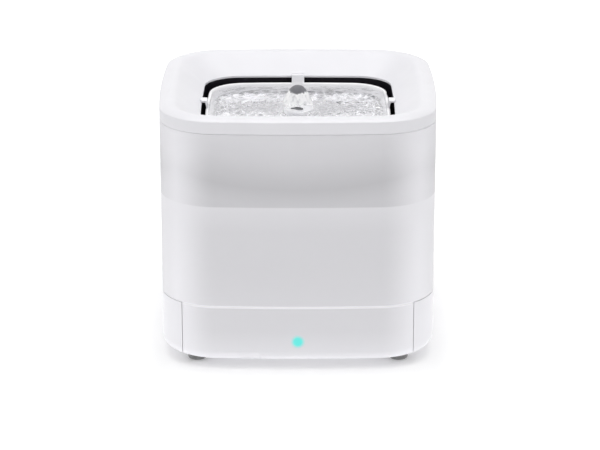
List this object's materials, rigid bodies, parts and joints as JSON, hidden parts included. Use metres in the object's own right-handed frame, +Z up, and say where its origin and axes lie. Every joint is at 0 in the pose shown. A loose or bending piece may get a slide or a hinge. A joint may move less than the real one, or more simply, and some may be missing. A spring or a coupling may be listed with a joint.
{
  "type": "pet water fountain",
  "caption": "Cube-shaped pet drinking fountain with a frosted tank, ring lid, bubbling dish, filter and cordless pump on a powered base.",
  "frame": {"origin": "middle of the body at the level of the undersides of the feet", "axes": "+Z up, front with the status light to -Y, power inlet to +Y"},
  "size_m": [0.18, 0.18, 0.168],
  "materials": {
    "base_shell": "satin white ABS",
    "bottom_cover": "fine matt white ABS",
    "rubber_feet": "smooth dark grey rubber",
    "cover_screws": "zinc-plated steel",
    "control_board": "green solder mask",
    "board_parts": "black moulded parts",
    "board_screws": "zinc-plated steel",
    "transmitter_coil": "enamelled copper wire",
    "ferrite_disc": "sintered ferrite",
    "coil_leads": "insulated wire",
    "light_pipe": "clear acrylic",
    "status_led": "lit teal LED",
    "power_inlet": "stamped nickel-plated shell",
    "inlet_tongue": "black nylon",
    "tact_switch": "black switch body",
    "mode_button": "light grey silicone-coated cap",
    "water_tank": "frosted translucent copolyester",
    "lid_ring": "satin white ABS",
    "lid_seal": "translucent white silicone",
    "drain_gutter": "satin black ABS",
    "filter_frame": "white polypropylene",
    "filter_grid": "white polypropylene",
    "filter_wadding": "white polyester wadding",
    "carbon_bed": "granular activated carbon",
    "drinking_dish": "glossy white ABS",
    "spring_nozzle": "glossy white ABS",
    "riser_tube": "milky clear polypropylene",
    "riser_seal": "silicone ring",
    "pump_housing": "white ABS",
    "pump_plate": "white ABS",
    "receiver_coil": "enamelled copper wire",
    "pump_board": "green solder mask",
    "stator_core": "laminated iron",
    "stator_windings": "enamelled copper wire",
    "pump_shaft": "ground stainless steel",
    "pump_chamber": "white ABS",
    "rotor_magnet": "bonded ferrite magnet",
    "impeller": "blue acetal",
    "intake_cover": "white ABS",
    "pump_sponge": "open-cell dark grey foam"
  },
  "bodies": {
    "base": {"base_shell": "base_shell", "bottom_cover": "bottom_cover", "rubber_feet": "rubber_feet", "cover_screws": "cover_screws", "control_board": "control_board", "board_parts": "board_parts", "board_screws": "board_screws", "transmitter_coil": "transmitter_coil", "ferrite_disc": "ferrite_disc", "coil_leads": "coil_leads", "light_pipe": "light_pipe", "status_led": "status_led", "power_inlet": "power_inlet", "inlet_tongue": "inlet_tongue", "tact_switch": "tact_switch"},
    "button": {"mode_button": "mode_button"},
    "tank": {"water_tank": "water_tank"},
    "lid": {"lid_ring": "lid_ring", "lid_seal": "lid_seal", "drain_gutter": "drain_gutter"},
    "filter": {"filter_frame": "filter_frame", "filter_grid": "filter_grid", "filter_wadding": "filter_wadding", "carbon_bed": "carbon_bed"},
    "dish": {"drinking_dish": "drinking_dish", "spring_nozzle": "spring_nozzle"},
    "pump": {"riser_tube": "riser_tube", "riser_seal": "riser_seal", "pump_housing": "pump_housing", "pump_plate": "pump_plate", "receiver_coil": "receiver_coil", "pump_board": "pump_board", "stator_core": "stator_core", "stator_windings": "stator_windings", "pump_shaft": "pump_shaft", "pump_chamber": "pump_chamber"},
    "rotor": {"rotor_magnet": "rotor_magnet", "impeller": "impeller"},
    "intake": {"intake_cover": "intake_cover", "pump_sponge": "pump_sponge"}
  },
  "joints": [
    {"name": "button_press", "type": "slide", "parent": "base", "child": "button", "axis": [0, -1, 0], "range_m": [0, 0.0008], "stiffness_N_per_m": 1500, "springref_m": -0.0008},
    {"name": "tank_lift", "type": "slide", "parent": "base", "child": "tank", "axis": [0, 0, 1], "range_m": [0, 0.06]},
    {"name": "lid_lift", "type": "slide", "parent": "tank", "child": "lid", "axis": [0, 0, 1], "range_m": [0, 0.1]},
    {"name": "dish_lift", "type": "slide", "parent": "lid", "child": "dish", "axis": [0, 0, 1], "range_m": [0, 0.04]},
    {"name": "filter_pull", "type": "slide", "parent": "lid", "child": "filter", "axis": [0, 0, -1], "range_m": [0, 0.008]},
    {"name": "pump_lift", "type": "slide", "parent": "tank", "child": "pump", "axis": [0, 0, 1], "range_m": [0, 0.008]},
    {"name": "intake_twist", "type": "hinge", "parent": "pump", "child": "intake", "pos_m": [0, 0, 0.075], "axis": [0, 0, 1], "range_deg": [0, 25]},
    {"name": "impeller_spin", "type": "hinge", "parent": "pump", "child": "rotor", "pos_m": [0, 0, 0.075], "axis": [0, 0, 1], "continuous": true}
  ]
}
